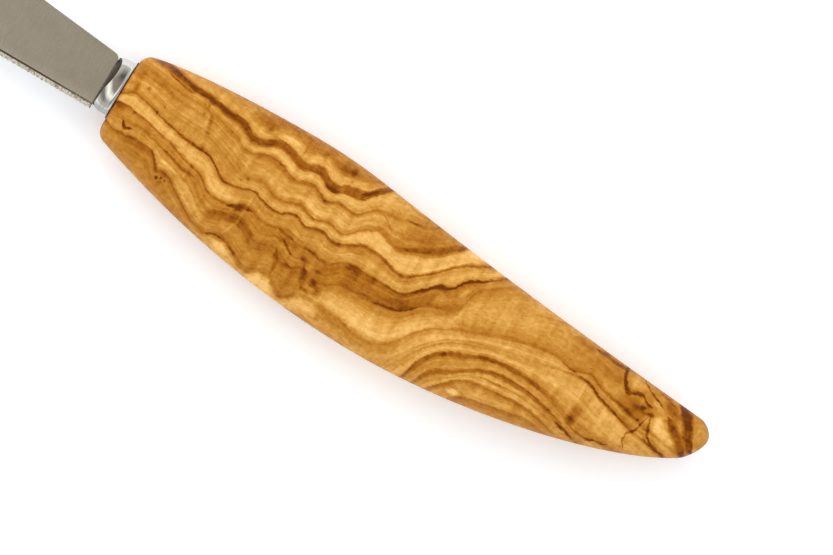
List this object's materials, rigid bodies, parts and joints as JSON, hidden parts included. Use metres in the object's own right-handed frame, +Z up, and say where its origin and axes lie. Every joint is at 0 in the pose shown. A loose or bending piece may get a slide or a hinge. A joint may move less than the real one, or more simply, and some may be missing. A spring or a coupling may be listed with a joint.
{
  "type": "cheese knife",
  "caption": "Cheese knife with a forked, finely toothed stainless blade, a turned steel bolster and a curved olive-wood handle.",
  "frame": {"origin": "centre of the underside of the knife's box, as the knife lies on its side on a table", "axes": "+X from the blade's tip to the tail of the handle, +Y from the cutting edge to the spine, +Z up out of the side that the picture shows"},
  "size_m": [0.2178, 0.0366, 0.016],
  "materials": {
    "blade_steel": "fine satin grind, slightly reflective",
    "bolster_steel": "polished",
    "olive_wood": "sanded and oiled, satin",
    "cured_epoxy": "cured clear amber resin"
  },
  "bodies": {
    "root": {"blade": "blade_steel", "bolster": "bolster_steel", "handle": "olive_wood", "tang_epoxy": "cured_epoxy"}
  },
  "joints": []
}
